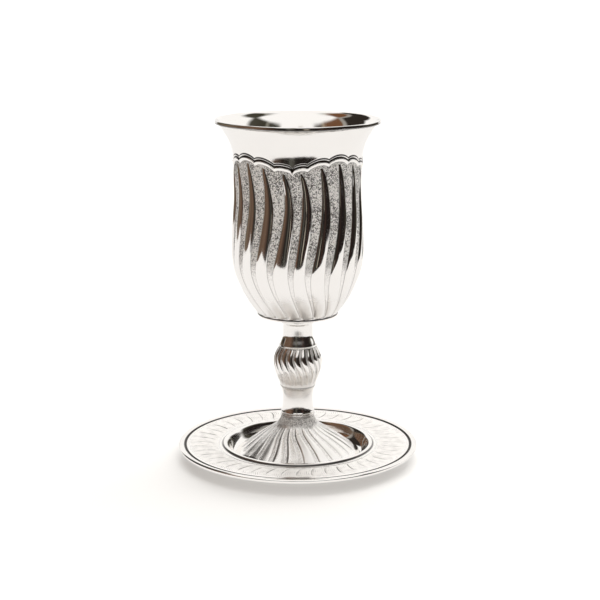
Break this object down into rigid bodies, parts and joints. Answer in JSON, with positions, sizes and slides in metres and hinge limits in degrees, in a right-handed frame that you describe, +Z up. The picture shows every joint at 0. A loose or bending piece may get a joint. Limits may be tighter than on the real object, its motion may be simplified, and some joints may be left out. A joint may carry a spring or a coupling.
{
  "type": "kiddush cup",
  "caption": "Flared silver goblet with S-shaped lobes under a scalloped border, a fluted knop stem and a swirled foot, standing in a dished saucer with a rolled edge.",
  "frame": {"origin": "on the surface that the saucer stands on, under the cup's axis", "axes": "+Z up along the cup's axis, -Y towards the front, +X to the right seen from the front"},
  "size_m": [0.1122, 0.1122, 0.1597],
  "materials": {
    "chased_silver": "polished lobes between stippled matt bands",
    "polished_silver": "polished",
    "engraved_silver": "polished, with fine engraved strokes"
  },
  "bodies": {
    "root": {"bowl": "chased_silver", "stem": "polished_silver", "foot": "chased_silver", "saucer": "engraved_silver"}
  },
  "joints": []
}
